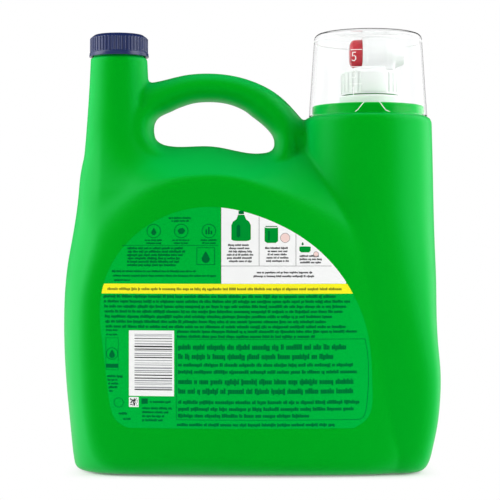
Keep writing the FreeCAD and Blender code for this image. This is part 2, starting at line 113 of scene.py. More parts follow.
# Column: height, half-width, half-depth, squareness
COLUMN_SECTIONS = [
    (-6, 33, 28, 4.0),
    (5, 40.2, 37, 4.4),
    (16, 43.2, 41, 4.8),
    (32, 46.4, 43.2, 4.8),
    (50, 48.3, 44.2, 4.8),
    (68, 48.7, 44.8, 4.6),
    (88, 47.3, 45.4, 4.0),
    (108, 46.8, 46, 3.2),
    (130, 47, 46.4, 2.6),
    (155, 46.4, 46.4, 2.2),
    (180, 45.8, 45.8, 2.0),
    (204, 45.3, 45.3, 2.0),
    (226, 44.8, 44.8, 2.0),
    (250, 44.1, 44.1, 2.0),
]

# Vent tower: height, radius
TOWER_PROFILE = [
    (150, 33), (185, 28.4), (215, 24.6), (243, 22.2), (266, 20.7), (287, 19.7)
]

# Handle and the rolled edges at its roots: X, Z, half-height, half-depth
HANDLE_CREST = [
    (-92, 249, 9, 12), (-76, 257, 10.5, 14.5), (-61, 260.2, 10.9, 16.5), (-46, 264.5, 10.2, 17.3),
    (-31, 266, 9.9, 17.5), (-14, 264.2, 10, 17.5), (-1, 259.6, 10.6, 17.3), (11, 252.3, 11.2, 17),
    (25.5, 238.5, 10.6, 15.5), (40, 223, 9.5, 13),
]
HANDLE_LEFT_ROOT = [
    (-62, 257, 8, 15), (-73.5, 249, 8.6, 17), (-78, 237, 8.8, 18.5), (-74, 224, 8.4, 20), (-60, 212, 7, 19)
]
HANDLE_RIGHT_ROOT = [
    (6, 253, 8, 15), (17.5, 244, 8.6, 16.5), (23.8, 231, 8.6, 18), (21, 216, 8.2, 20), (8, 205, 7, 19)
]
# Usage and display label: lower edge, and the outline from the lower right corner over to the lower left
LABEL_BOTTOM = 33.2
LABEL_OUTLINE = [
    (68, LABEL_BOTTOM), (77, 39.5), (80.6, 60), (78.4, 92), (67.1, 124),
    (44.7, 152.2), (10, 173), (-34.7, 181), (-70, 169), (-94, 144),
    (-102.4, 118), (-100.5, 85.6), (-96.5, 52), (-91.5, 38), (-84, LABEL_BOTTOM),
]

# Print: heights over the labelled face of its underside, of the label, of fields and of letters;
# least height of a column of film; letters' width to their height, and the height that counts as tall
PRINT_LOW = 0.02
BASE_LIFT = 0.12
FIELD_LIFT = 0.15
LETTER_LIFT = 0.19
SLIVER = 0.02
LETTER_WIDTH = 0.62
TALL_LETTERS = 2.2

# Lines of larger dummy text below the band: base line, letter height, last X
LOWER_LINES = [
    (85.99, 2.7, 68), (79.66, 2.7, 62), (74.66, 1.75, 70), (70.0, 1.75, 73), (62.87, 2.7, 70),
    (56.54, 2.7, 70), (49.74, 1.8, 73), (45.21, 1.8, 70), (40.68, 1.8, 40),
]

# Thread and vent cap, the clear cup and its seat
THREAD_TURNS = 1.5
CAP_BORE = 18.5
CAP_RIBS = 48
CUP_LOW = COLUMN_TOP + 0.3
CUP_HIGH = CUP_LOW + 57.6
CUP_RIM = 41.25
CUP_TAPER = 3.65
CUP_WALL = 1.5
CUP_EDGE = 4.0
SEAT_TOP = COLUMN_TOP + 7.4

# Hollows of the tap along its axis: radius, start, end
TAP_HOLLOWS = [(10.65, 66, 83.3), (8.6, 84.9, 96.0), (4.2, 95, 98.5), (5.8, 97.5, 110)]

# Strokes of the cup's numbers, in shares of a figure's width and height
FIGURES = {
    "1": [[(0.25, 0.75), (0.5, 1), (0.5, 0)]],
    "3": [[(0.05, 0.9), (0.4, 1), (0.85, 0.85), (0.8, 0.6), (0.45, 0.52), (0.85, 0.42), (0.9, 0.15),
           (0.5, 0), (0.05, 0.1)]],
    "5": [[(0.9, 1), (0.2, 1), (0.12, 0.55), (0.5, 0.62), (0.85, 0.5), (0.9, 0.2), (0.55, 0), (0.05, 0.08)]],
}


# Curves and fields of the moulded form

def spline_weights(knots, at, cyclic=False):
    """Matrix that takes values at the knots to a smooth cubic curve's values at the given places."""
    knots = np.asarray(knots, float)
    spans = np.diff(knots)
    n = len(knots) - 1 if cyclic else len(knots)
    left = np.zeros((n, n))
    right = np.zeros((n, n))
    for i in range(n):
        if not cyclic and i in (0, n - 1):
            left[i, i] = 1
            continue
        before = spans[i - 1]
        after = spans[i]
        j = (i + 1) % n
        left[i, i - 1] += before
        left[i, i] += 2 * (before + after)
        left[i, j] += after
        right[i, i - 1] += 6 / before
        right[i, i] -= 6 / before + 6 / after
        right[i, j] += 6 / after
    bend = np.linalg.solve(left, right)
    at = np.asarray(at, float)
    span = np.clip(np.searchsorted(knots, at, side="right") - 1, 0, len(spans) - 1)
    h = spans[span]
    b = np.clip((at - knots[span]) / h, 0, 1)
    a = 1 - b
    rows = np.arange(len(at))
    weights = np.zeros((len(at), n))
    weights[rows, span] += a
    weights[rows, (span + 1) % n] += b
    weights += ((a**3 - a) * h * h / 6)[:, None] * bend[span]
    weights += ((b**3 - b) * h * h / 6)[:, None] * bend[(span + 1) % n]
    return weights


def rows_at(rows, at):
    """Smooth values of each column of a table of rows, whose first column is the place."""
    rows = np.array(rows, float)
    return (spline_weights(rows[:, 0], np.clip(at, rows[0, 0], rows[-1, 0])) @ rows[:, 1:]).T


def running_length(points):
    return np.concatenate([[0], np.cumsum(np.linalg.norm(np.diff(points, axis=0), axis=1))])


def smooth_curve(points, count):
    """Smooth curve through rows of X, Z and whatever else they hold."""
    points = np.array(points, float)
    knots = running_length(points[:, :2])
    return spline_weights(knots, np.linspace(0, knots[-1], count)) @ points


def ramp(value, start, end):
    """0 up to the start, 1 from the end on, and straight between them."""
    return np.clip((value - start) / (end - start), 0, 1)


def smooth_min(a, b, k):
    h = np.clip(k - np.abs(a - b), 0, None) / k
    return np.minimum(a, b) - h * h * k / 4


def smooth_max(a, b, k):
    return -smooth_min(-a, -b, k)


def polygon_distance(px, pz, polygon):
    """Signed distance of a grid of points from a closed polygon, negative inside."""
    best = np.full(px.shape, 1e9)
    inside = np.zeros(px.shape, bool)
    for (x0, z0), (x1, z1) in zip(polygon, np.roll(polygon, -1, axis=0)):
        dx, dz = x1 - x0, z1 - z0
        t = np.clip(((px - x0) * dx + (pz - z0) * dz) / (dx * dx + dz * dz), 0, 1)
        best = np.minimum(best, (px - x0 - t * dx) ** 2 + (pz - z0 - t * dz) ** 2)
        if z0 != z1:
            inside ^= ((z0 > pz) != (z1 > pz)) & (px < (pz - z0) * dx / dz + x0)
    return np.sqrt(best) * np.where(inside, -1, 1)


def face_depth(x):
    """Distance of a labelled face from the parting plane."""
    return HALF_DEPTH - FACE_RADIUS + np.sqrt(FACE_RADIUS**2 - x**2)


def side_share(y):
    """Share of the way from the silhouette to a face's edge that the sides take."""
    return 1 - np.sqrt(1 - (y / SIDE_ROUNDNESS) ** 2)


def roof_share(y):
    """The same for the roof: a rounded ridge, then straight slopes."""
    bend = 0.35
    part = y / RIDGE_HALF_WIDTH
    return np.where(part <= 1, bend * part**2, bend * (2 * part - 1))


def main_field(x, y, z):
    """The main volume: outlines that shrink towards the two bulging faces."""
    coarse = 2 * (x[1] - x[0])
    cx = np.arange(x[0], x[-1] + coarse, coarse)
    cz = np.arange(z[0], z[-1] + coarse, coarse)
    px, pz = np.meshgrid(cx, cz, indexing="ij")
    silhouette, edge = np.array(BODY_OUTLINE, float).transpose(1, 0, 2)
    knots = running_length(np.vstack([silhouette, silhouette[:1]]))
    curve = spline_weights(knots, np.linspace(0, knots[-1], 200, endpoint=False), cyclic=True)
    to_x = spline_weights(cx, x)
    to_z = spline_weights(cz, z)
    reach = face_depth(edge[:, 0])
    slices = []
    for depth in np.minimum(y, SIDE_ROUNDNESS - 3):
        shares = (side_share(depth) / side_share(reach), roof_share(depth) / roof_share(reach))
        outline = silhouette + (edge - silhouette) * np.stack(shares, axis=1)
        slices.append(to_x @ polygon_distance(px, pz, curve @ outline) @ to_z.T)
    field = np.stack(slices, axis=1)
    slope = np.gradient(field, x[1] - x[0], edge_order=2)
    field = field / np.clip(np.sqrt(sum(g * g for g in slope)), 0.8, None)
    across, deep, _ = np.ix_(x, y, z)
    return smooth_max(field, deep - face_depth(across), 3.5)


def from_middle(across, deep, q):
    """Distance from an oval that passes at 1/q of the way out to a point."""
    return np.sqrt(across**2 + deep**2) * (1 - 1 / np.maximum(q, 0.02))


def column_field(x, y, z):
    """The round column, squarer towards the base, with a flat top."""
    half_x, half_y, squareness = rows_at(COLUMN_SECTIONS, z)
    across, deep, height = np.ix_(x - COLUMN_X, y, z)
    q = (np.abs(across) / half_x) ** squareness + (np.abs(deep) / half_y) ** squareness
    q = np.maximum(q, 1e-9) ** (1 / squareness)
    return smooth_max(from_middle(across, deep, q), height - COLUMN_TOP, 5.0)


def tower_field(x, y, z):
    """The tapered tower under the vent cap."""
    across, deep, height = np.ix_(x - VENT_X, y, z)
    field = np.sqrt(across**2 + deep**2) - rows_at(TOWER_PROFILE, z)[0]
    return np.maximum(smooth_max(field, height - VENT_TOP, 1.5), TOWER_PROFILE[0][0] - height)


def tube_field(path, x, y, z):
    """An oval tube along a path in the parting plane."""
    dense = smooth_curve(path, 160)
    px, pz = np.meshgrid(x, z, indexing="ij")
    best = np.full(px.shape, 1e9)
    nearest = np.zeros(px.shape, int)
    for i, (sx, sz) in enumerate(dense[:, :2]):
        square = (px - sx) ** 2 + (pz - sz) ** 2
        closer = square < best
        best[closer] = square[closer]
        nearest[closer] = i
    off = np.sqrt(best)[:, None, :]
    deep = y[None, :, None]
    half_height, half_depth = np.moveaxis(dense[nearest, 2:], 2, 0)[:, :, None, :]
    return from_middle(off, deep, np.sqrt((off / half_height) ** 2 + (deep / half_depth) ** 2))


def bottle_field(x, y, z, hollows=True):
    """Field of the whole moulding, negative inside, for y at and behind the parting plane."""
    across, deep, height = np.ix_(x, y, z)
    # The tower melts into the shoulder in front and behind, but keeps its outline at the sides
    melt = 1.5 + 12.5 * ramp(deep, 4, 18) * ramp(across, -118, -104) * ramp(height, 168, 193)
    field = smooth_min(main_field(x, y, z), tower_field(x, y, z), melt)
    crest_melt = 2 + 5 * ramp(across, -78, -58)
    for path, melt in ((HANDLE_CREST, crest_melt), (HANDLE_LEFT_ROOT, 4), (HANDLE_RIGHT_ROOT, 4)):
        field = smooth_min(field, tube_field(path, x, y, z), melt)
    field = smooth_min(field, column_field(x, y, z), 0.6 + 2.4 * ramp(height, 130, 175))
    foot = field[:, :, [int(np.argmin(np.abs(z - 8)))]]
    field = smooth_max(field, -height, 5)
    if not hollows:
        return field
    # Recess under the base, and the way down through the vent neck to the liquid
    field = smooth_max(field, -np.maximum(foot + RECESS_INSET, height - RECESS_DEPTH), 1.5)
    around = np.sqrt((across - VENT_X) ** 2 + deep**2)
    return smooth_max(field, -np.maximum(around - FINISH_BORE, FILL_LEVEL - 2 - height), 0.8)


def surface_net(field, origin, step):
    """Vertices and quads of the field's zero surface, one vertex to each cell that it crosses."""
    inside = field < 0
    unit = np.eye(3, dtype=int)
    corners = list(np.ndindex(2, 2, 2))
    size = np.array(field.shape) - 1
    nx, ny, nz = size
    count = sum(inside[i : i + nx, j : j + ny, k : k + nz].astype(np.int8) for i, j, k in corners)
    cells = np.argwhere((count > 0) & (count < 8))
    index = np.full((nx, ny, nz), -1)
    index[tuple(cells.T)] = np.arange(len(cells))
    total = np.zeros((len(cells), 3))
    crossings = np.zeros(len(cells))
    for corner in corners:
        for axis in range(3):
            if corner[axis]:
                continue
            start = cells + corner
            fa = field[tuple(start.T)]
            fb = field[tuple((start + unit[axis]).T)]
            cut = (fa < 0) != (fb < 0)
            t = np.where(cut, fa / np.where(cut, fa - fb, 1), 0)
            total += (np.array(corner) + t[:, None] * unit[axis]) * cut[:, None]
            crossings += cut
    vertices = (cells + total / crossings[:, None]) * step + origin
    quads = []
    for axis in range(3):
        u, v = (axis + 1) % 3, (axis + 2) % 3
        low = inside[tuple(slice(0, n - s) for n, s in zip(field.shape, unit[axis]))]
        high = inside[tuple(slice(s, n) for n, s in zip(field.shape, unit[axis]))]
        edges = np.argwhere(low != high)
        around = edges[:, [u, v]]
        edges = edges[((around > 0) & (around < size[[u, v]])).all(axis=1)]
        ring = [edges - unit[u] - unit[v], edges - unit[v], edges, edges - unit[u]]
        ids = np.stack([index[tuple(r.T)] for r in ring], axis=1)
        flip = high[tuple(edges.T)]
        ids[flip] = ids[flip][:, ::-1]
        quads.append(ids)
    return vertices, np.concatenate(quads)


def sample(values, places):
    """Values of a grid at fractional places, linearly."""
    base = np.clip(np.floor(places).astype(int), 0, np.array(values.shape) - 2)
    part = places - base
    out = 0
    for corner in np.ndindex(2, 2, 2):
        weight = np.where(corner, part, 1 - part).prod(axis=1)
        out = out + weight * values[tuple((base + corner).T)]
    return out


def net_shape(field, origin, step, rounds=4):
    """Net over a field's zero surface, evened out and put back on the surface, as (vertices, faces)."""
    vertices, quads = surface_net(field, origin, step)
    total = len(vertices)
    slope = np.gradient(field, step, edge_order=2)
    edges = np.concatenate([quads[:, [i, (i + 1) % 4]] for i in range(4)])
    ends = np.concatenate([edges, edges[:, ::-1]])
    degree = np.bincount(ends[:, 0], minlength=total)[:, None]
    for _ in range(rounds):
        sums = [np.bincount(ends[:, 0], vertices[ends[:, 1], axis], total) for axis in range(3)]
        vertices = vertices + 0.6 * (np.stack(sums, axis=1) / degree - vertices)
        for _ in range(2):
            places = (vertices - origin) / step
            normal = np.stack([sample(s, places) for s in slope], axis=1)
            length = np.clip((normal**2).sum(axis=1), 0.3, None)
            vertices = vertices - normal * (sample(field, places) / length)[:, None]
    return vertices, quads.tolist()


def bottle_shell(step, inset=0.0, fill_level=None):
    """The moulding's outer skin, or what fills it up to a level at some distance inside."""
    x = np.arange(-136, 137, step)
    half = np.arange(0, 58, step)
    z = np.arange(-6, 292 if fill_level is None else fill_level + 3 * step, step)
    half_field = bottle_field(x, half, z, hollows=fill_level is None) + inset
    if fill_level is not None:
        half_field = np.maximum(half_field, z - fill_level)
    field = np.concatenate([half_field[:, :0:-1], half_field], axis=1)
    return net_shape(field, (x[0], -half[-1], z[0]), step)


# Shapes as (vertices, faces)

def outward(vertices, faces):
    """The shape with its faces turned outwards, judged by its volume."""
    triangles = [(face[0], face[i], face[i + 1]) for face in faces for i in range(1, len(face) - 1)]
    a, b, c = vertices[np.array(triangles)].transpose(1, 0, 2)
    if (a * np.cross(b, c)).sum() > 0:
        return vertices, faces
    return vertices, [face[::-1] for face in faces]


def swept(sections, ring=False):
    """Closed skin over a row of sections, each with four corners in turn."""
    count = len(sections)
    faces = []
    for i in range(count if ring else count - 1):
        a, b = 4 * i, 4 * ((i + 1) % count)
        faces += [[a + k, b + k, b + n, a + n] for k, n in ((0, 1), (1, 2), (2, 3), (3, 0))]
    if not ring:
        faces += [[0, 1, 2, 3], [4 * count - k for k in (1, 2, 3, 4)]]
    return outward(np.array(sections, float).reshape(-1, 3), faces)


def rounded(profile, steps):
    """Profile points with the corners that carry a radius rounded: each is (a, b) or (a, b, radius)."""
    points = []
    count = len(profile)
    for i, point in enumerate(profile):
        here = np.array(point[:2], float)
        if len(point) < 3:
            points.append(here)
            continue
        before = np.array(profile[i - 1][:2], float) - here
        after = np.array(profile[(i + 1) % count][:2], float) - here
        size = [min(point[2], 0.48 * np.linalg.norm(v)) / np.linalg.norm(v) for v in (before, after)]
        start = here + before * size[0]
        end = here + after * size[1]
        for t in np.linspace(0, 1, steps + 1):
            points.append((1 - t) ** 2 * start + 2 * t * (1 - t) * here + t * t * end)
    return points


def lathe(profile, centre, segments=128, steps=4, along="z", closed=True, wave=None, waved=None):
    """A rounded profile of (radius, height) turned about an axis, with faces outwards.

    wave(angles) is added between waved's two heights, where the radius is more than its third value.
    """
    angles = np.arange(segments) * 2 * math.pi / segments
    c, s = np.cos(angles), np.sin(angles)
    vertices = []
    rings = []
    for radius, height in rounded(profile, steps):
        start = len(vertices)
        if radius < 1e-6:
            vertices.append((0.0, 0.0, height))
            rings.append([start] * segments)
            continue
        if wave and waved[0] <= height <= waved[1] and radius > waved[2]:
            radius = radius + wave(angles)
        vertices.extend(np.stack([radius * c, radius * s, np.full(segments, height)], axis=1).tolist())
        rings.append(list(range(start, start + segments)))
    faces = []
    for low, high in zip(rings, rings[1:] + (rings[:1] if closed else [])):
        for i in range(segments):
            j = (i + 1) % segments
            corners = list(dict.fromkeys((low[i], low[j], high[j], high[i])))
            if len(corners) > 2:
                faces.append(corners)
    vertices = np.array(vertices)
    if along == "x":
        vertices = vertices[:, [2, 0, 1]]
    return outward(vertices + np.array(centre, float), faces)


def thread_ridge(radius, height, start, inward=False):
    """Screw thread of the vent: a trapezoid swept along a helix, faded out at both ends."""
    root, half_root, half_crest, sunk = 0.3, 0.95, 0.4, 0.02
    side = -1 if inward else 1
    sections = []
    for turn in np.linspace(0, THREAD_TURNS, int(THREAD_TURNS * 72) + 1):
        fade = min(1.0, turn * 5, (THREAD_TURNS - turn) * 5)
        crest = radius + side * (height * fade - sunk)
        foot = radius - side * root
        angle = 2 * math.pi * turn
        z = start + THREAD_PITCH * turn
        corners = ((foot, -half_root), (crest, -half_crest), (crest, half_crest), (foot, half_root))
        sections.append([(VENT_X + r * math.cos(angle), r * math.sin(angle), z + dz) for r, dz in corners])
    return swept(sections)


def film(columns, low, high, side=-1):
    """Thin closed sheet over a labelled face, from columns of (x, z below, z above) and two heights."""
    sections = []
    for x, z0, z1 in columns:
        near = side * (face_depth(x) + low)
        far = side * (face_depth(x) + high)
        sections.append([(x, near, z0), (x, near, z1), (x, far, z1), (x, far, z0)])
    return swept(sections)


def bar(x0, x1, z0, z1):
    """Columns of an upright rectangle."""
    return [(x, z0, z1) for x in np.linspace(x0, x1, int(abs(x1 - x0) / 5) + 2)]


def disc(x, z, radius, count=20):
    """Columns of a disc."""
    columns = []
    for t in np.linspace(math.pi, 0, count):
        half = radius * max(math.sin(t), 0.02)
        columns.append((x + radius * math.cos(t), z - half, z + half))
    return columns


def drop(x, z, radius, count=24):
    """Columns of a drop with its tip up."""
    columns = []
    for t in np.linspace(math.pi, 0, count):
        across = radius * math.cos(t)
        half = radius * max(math.sin(t), 0.03)
        tip = z + 1.9 * radius * max(1 - abs(across) / radius, 0) ** 0.8 + 0.02
        columns.append((x + across, z - half, max(z + 0.6 * half, tip)))
    return columns


def strip_film(edges, ring=False):
    """Thin closed strip of print on the usage label, between pairs of (X, Z) points."""
    sections = []
    for a, b in edges:
        corners = ((a, PRINT_LOW), (a, LETTER_LIFT), (b, LETTER_LIFT), (b, PRINT_LOW))
        sections.append([(x, -face_depth(x) - lift, z) for (x, z), lift in corners])
    return swept(sections, ring)


def ring_film(x, z, inner, outer, count=40):
    """Ring of print on the usage label."""
    turns = np.arange(count) * 2 * math.pi / count
    edges = [[(x + r * math.cos(t), z + r * math.sin(t)) for r in (inner, outer)] for t in turns]
    return strip_film(edges, ring=True)


def frame_film(x0, x1, z0, z1, width):
    """Four bars around a rectangle."""
    return [
        bar(x0, x1, z0, z0 + width),
        bar(x0, x1, z1 - width, z1),
        bar(x0, x0 + width, z0 + width, z1 - width),
        bar(x1 - width, x1, z0 + width, z1 - width),
    ]


def dummy_words(x0, x1, z, height):
    """A line of dummy text: small blocks of the size of letters, grouped like words."""
    letter = LETTER_WIDTH**2 if height > TALL_LETTERS else LETTER_WIDTH
    blocks = []
    x = x0
    while x < x1 - 2 * height:
        for _ in range(int(rng.integers(2, 11))):
            width = letter * height * rng.uniform(0.65, 1.15)
            if x + width > x1:
                break
            tall = height * (1.0 if rng.random() < 0.72 else 1.32)
            drop_down = 0.3 * height if rng.random() < 0.12 else 0.0
            blocks.append([(x, z - drop_down, z + tall), (x + width, z - drop_down, z + tall)])
            x += width + 0.22 * letter * height
        x += 0.5 * height
    return blocks


def merged(shapes):
    """Several shapes as one."""
    vertices = []
    faces = []
    total = 0
    for points, quads in shapes:
        vertices.append(points)
        faces += [[v + total for v in face] for face in quads]
        total += len(points)
    return np.concatenate(vertices), faces


# Materials

def linear(*srgb):
    """Linear colour from 0 to 255 display values."""
    values = [v / 255 for v in srgb]
    return tuple(v / 12.92 if v <= 0.04045 else ((v + 0.055) / 1.055) ** 2.4 for v in values) + (1.0,)


def connect(node, inputs):
    """Gives a node's inputs their values, or links them to other nodes' outputs."""
    for name, value in inputs.items():
        if isinstance(value, bpy.types.NodeSocket):
            node.id_data.links.new(value, node.inputs[name])
        else:
            node.inputs[name].default_value = value


def add_node(tree, kind, inputs, **settings):
    node = tree.nodes.new("ShaderNode" + kind)
    for name, value in settings.items():
        setattr(node, name, value)
    connect(node, inputs)
    return node


def math_node(tree, operation, *values):
    """Result of a math node on sockets or numbers."""
    return add_node(tree, "Math", dict(enumerate(values)), operation=operation).outputs[0]


def map_range(tree, value, start, end, low=0.0, high=1.0, kind="LINEAR"):
    """A value brought from one range to another."""
    span = {"Value": value, "From Min": start, "From Max": end, "To Min": low, "To Max": high}
    return add_node(tree, "MapRange", span, interpolation_type=kind).outputs["Result"]


def mixed_colour(tree, share, first, second):
    mix = add_node(tree, "Mix", {"Factor": share}, data_type="RGBA")
    places = [i for i, socket in enumerate(mix.inputs) if socket.type == "RGBA"]
    connect(mix, dict(zip(places, (first, second))))
    return [socket for socket in mix.outputs if socket.type == "RGBA"][0]


def object_place(tree):
    return add_node(tree, "TexCoord", {}).outputs["Object"]


def new_material(name):
    """An empty node material, its tree and its principled shader."""
    material = bpy.data.materials.new(name)
    material.use_nodes = True
    return material, material.node_tree, material.node_tree.nodes["Principled BSDF"]


def grained(tree, scale, strength, distance=0.0002, seam=False):
    """Normal of a fine grain, with the mould's parting line on top where asked for."""
    place = object_place(tree)
    speck = add_node(tree, "TexNoise", {"Scale": scale, "Vector": place})
    grain = {"Strength": strength, "Distance": distance, "Height": speck.outputs["Fac"]}
    normal = add_node(tree, "Bump", grain).outputs["Normal"]
    if not seam:
        return normal
    across = add_node(tree, "SeparateXYZ", {"Vector": place}).outputs["Y"]
    ridge = map_range(tree, math_node(tree, "ABSOLUTE", across), 0.0001, 0.0006, 1, 0, "SMOOTHSTEP")
    line = {"Strength": 0.6, "Distance": 0.0003, "Height": ridge, "Normal": normal}
    return add_node(tree, "Bump", line).outputs["Normal"]


def plastic(name, colour, roughness, mottle=0.03, grain=0.05, scale=1400, specular=0.4, seam=False,
            sheen=(1, 1, 1, 1), rim=None):
    """Moulded plastic: slight colour drift, uneven gloss, a fine grain and, where given, a tinted shine and
    a painted sheen that lightens the colour where the surface is seen edge on.
    """
    material, tree, shader = new_material(name)
    drift = {"Scale": 28, "Detail": 3, "Vector": object_place(tree)}
    cloud = add_node(tree, "TexNoise", drift).outputs["Fac"]
    dark = tuple(c * (1 - mottle) for c in colour[:3]) + (1,)
    light = tuple(min(1, c * (1 + mottle)) for c in colour[:3]) + (1,)
    surface = mixed_colour(tree, cloud, dark, light)
    if rim:
        # Painted sheen: the colour turns lighter and bluer where the surface is seen edge on. It stands in
        # for reflected light from the sides, and in part for light through the thin translucent wall
        facing = add_node(tree, "LayerWeight", {"Blend": 0.5}).outputs["Facing"]
        surface = mixed_colour(tree, map_range(tree, facing, 0.04, 0.75, kind="SMOOTHSTEP"), surface, rim)
    connect(shader, {
        "Base Color": surface,
        "Roughness": map_range(tree, cloud, 0, 1, roughness * 0.9, roughness * 1.12),
        "Specular IOR Level": specular,
        "Specular Tint": sheen,
        "Normal": grained(tree, scale, grain, seam=seam),
    })
    return material


def clear_plastic(name, roughness, ior, tint=(0.99, 0.995, 0.995, 1)):
    """Clear moulded plastic with a faint flow texture."""
    material, tree, shader = new_material(name)
    connect(shader, {
        "Base Color": tint,
        "Roughness": roughness,
        "IOR": ior,
        "Transmission Weight": 1.0,
        "Normal": grained(tree, 60, 0.02, 0.0005),
    })
    return material


def brushed_steel(name):
    material, tree, shader = new_material(name)
    connect(shader, {
        "Base Color": (0.62, 0.62, 0.6, 1),
        "Metallic": 1.0,
        "Roughness": 0.28,
        "Normal": grained(tree, 3000, 0.1, 0.0001),
    })
    return material


def ink(name, *srgb, roughness=0.3, **options):
    """Flat print."""
    return plastic("print_" + name, linear(*srgb), roughness, grain=0.01, specular=0.3, **options)


GREEN_SHINE = (0.0, 1.0, 0.66, 1)
# The bottle's rim colour is a painted sheen: lighter and bluer where the bottle is seen edge on
BOTTLE_GREEN = plastic("bottle_green", linear(0, 160, 12), 0.42, specular=0.22, seam=True,
                       sheen=GREEN_SHINE, rim=linear(0, 182, 72))
LABEL_GREEN = plastic("label_green", linear(0, 170, 46), 0.24, grain=0.02, sheen=GREEN_SHINE)
CAP_BLUE = plastic("cap_blue", linear(22, 38, 88), 0.3, specular=0.62)
TAP_WHITE = plastic("tap_white", linear(223, 225, 224), 0.36)
BUTTON_RED = plastic("button_red", linear(178, 34, 46), 0.25)
LINER_FOAM = plastic("liner_foam", linear(226, 224, 216), 0.7, grain=0.4, scale=2500)
SEAL_RUBBER = plastic("seal_rubber", linear(52, 52, 54), 0.62, grain=0.2)
SPRING_STEEL = brushed_steel("spring_steel")
CUP_CLEAR = clear_plastic("cup_clear", 0.03, 1.12)
LIQUID_BLUE = clear_plastic("detergent_blue", 0.02, 1.34, (0.25, 0.5, 0.9, 1))
PRINT_DARK = ink("dark_green", 0, 100, 40, sheen=GREEN_SHINE)
PRINT_BLACK = ink("black", 38, 38, 40, roughness=0.35)
PRINT_WHITE = ink("white", 240, 240, 240)
PRINT_YELLOW = ink("yellow", 244, 236, 20)
PRINT_GREEN = ink("bottle_green", 0, 140, 40, sheen=GREEN_SHINE)
PRINT_PINK = ink("pink", 236, 206, 200)
PRINT_OLIVE = ink("olive", 120, 125, 20)
PRINT_GREY = ink("pale_grey", 150, 150, 156, roughness=0.35)
MARK_FROST = plastic("scale_frost", linear(246, 246, 246), 0.55, grain=0.1)


def piece(name, shape, material, body, replaced=None, smooth=True, weighted=True):
    """A finished piece from a shape in millimetres: its body, and the solid that it stands for."""
    vertices, faces = shape
    mesh = bpy.data.meshes.new(name)
    mesh.from_pydata((vertices * MM).tolist(), [], faces)
    mesh.polygons.foreach_set("use_smooth", [smooth] * len(mesh.polygons))
    mesh.materials.append(material)
    mesh.update()
    obj = bpy.data.objects.new(name, mesh)
    bpy.context.collection.objects.link(obj)
    if smooth and weighted:
        obj.modifiers.new("even_shading", "WEIGHTED_NORMAL").weight = 60
    if replaced:
        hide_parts(replaced)
    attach(obj, body)


def label_piece(name, shape, material, replaced=None):
    piece(name, shape, material, "bottle", replaced, smooth=False)


# The bottle

def make_bottle():
    """The moulding's skin, the detergent inside its wall, and the finishes of both necks."""
    piece("bottle", bottle_shell(SKIN_STEP), BOTTLE_GREEN, "bottle", "bottle_body", weighted=False)
    liquid = bottle_shell(LIQUID_STEP, WALL, FILL_LEVEL)
    piece("detergent_fill", liquid, LIQUID_BLUE, "bottle", "detergent", weighted=False)
    profile = [
        (FINISH_BORE, VENT_TOP - 4), (FINISH_RADIUS, VENT_TOP - 4),
        (FINISH_RADIUS, VENT_FINISH_TOP, 0.8), (FINISH_BORE, VENT_FINISH_TOP, 0.6),
    ]
    thread = thread_ridge(FINISH_RADIUS, 0.65, VENT_TOP + 4.2)
    neck = merged([lathe(profile, (VENT_X, 0, 0)), thread])
    piece("vent_neck_finish", neck, BOTTLE_GREEN, "bottle")
    seat = [
        (0, COLUMN_TOP - 3), (38.9, COLUMN_TOP - 3), (39.6, COLUMN_TOP - 0.1, 0.5),
        (38.9, COLUMN_TOP + 0.8, 0.5), (38.9, SEAT_TOP, 1.4), (34, SEAT_TOP, 1.0),
        (31, SEAT_TOP - 1.2, 1.0), (0, SEAT_TOP - 1.2),
    ]
    neck = [
        (0, COLUMN_TOP + 2), (25, COLUMN_TOP + 2), (22.5, COLUMN_TOP + 7, 2),
        (17.6, COLUMN_TOP + 8.6, 1.5), (17.6, TAP_NECK_TOP, 0.5), (0, TAP_NECK_TOP),
    ]
    shapes = [lathe(seat, (COLUMN_X, 0, 0), 160, closed=False), lathe(neck, (TAP_X, 0, 0), closed=False)]
    piece("cup_seat_and_tap_neck", merged(shapes), BOTTLE_GREEN, "bottle")
    low, high = SEAT_TOP - 1.0, 259.6
    ring = [(17.8, low), (21.0, low, 0.3), (21.4, high, 1.2), (17.8, high, 0.3)]
    piece("tap_snap_ring", lathe(ring, (TAP_X, 0, 0)), TAP_WHITE, "bottle")


# Vent cap and liner

def make_vent_cap():
    """Cap with a smooth band, ribs above it and a thread inside."""
    low = VENT_TOP + 0.3
    high = low + 15.2
    band = low + 2.7
    side = 20.05
    profile = [
        (0, high - 0.5), (0, high - 1.5), (CAP_BORE, high - 1.5, 0.4), (CAP_BORE, low, 0.4),
        (20.8, low, 0.3), (20.5, band, 0.3), (side, band + 0.35), (side, band + 0.8),
        (side, high - 2.7), (19.9, high - 2.3), (19.3, high - 1.7), (17.4, high - 0.3),
        (16.9, high), (16.0, high, 0.5), (15.5, high - 0.5, 0.5),
    ]

    def wave(angles):
        return 0.3 * np.clip(1.4 * np.cos(angles * CAP_RIBS) + 0.3, -0.8, 0.75)

    shell = lathe(profile, (VENT_X, 0, 0), 720, wave=wave, waved=(band + 0.5, high - 2.5, 19.0))
    thread = thread_ridge(CAP_BORE, 0.5, low + 2.2, inward=True)
    piece("vent_cap_ribbed", merged([shell, thread]), CAP_BLUE, "cap", "vent_cap")


def make_liner():
    """Sealing disc with a shallow groove over the neck's rim."""
    low = VENT_FINISH_TOP
    profile = [
        (0, low), (14.5, low), (15.0, low + 0.15, 0.2), (17.8, low + 0.15, 0.2),
        (18.2, low, 0.2), (18.2, low + 1.0, 0.3), (0, low + 1.0),
    ]
    shape = lathe(profile, (VENT_X, 0, 0), 96, 3, closed=False)
    piece("vent_liner_disc", shape, LINER_FOAM, "liner", "vent_cap_liner")


# Tap collar, body and button

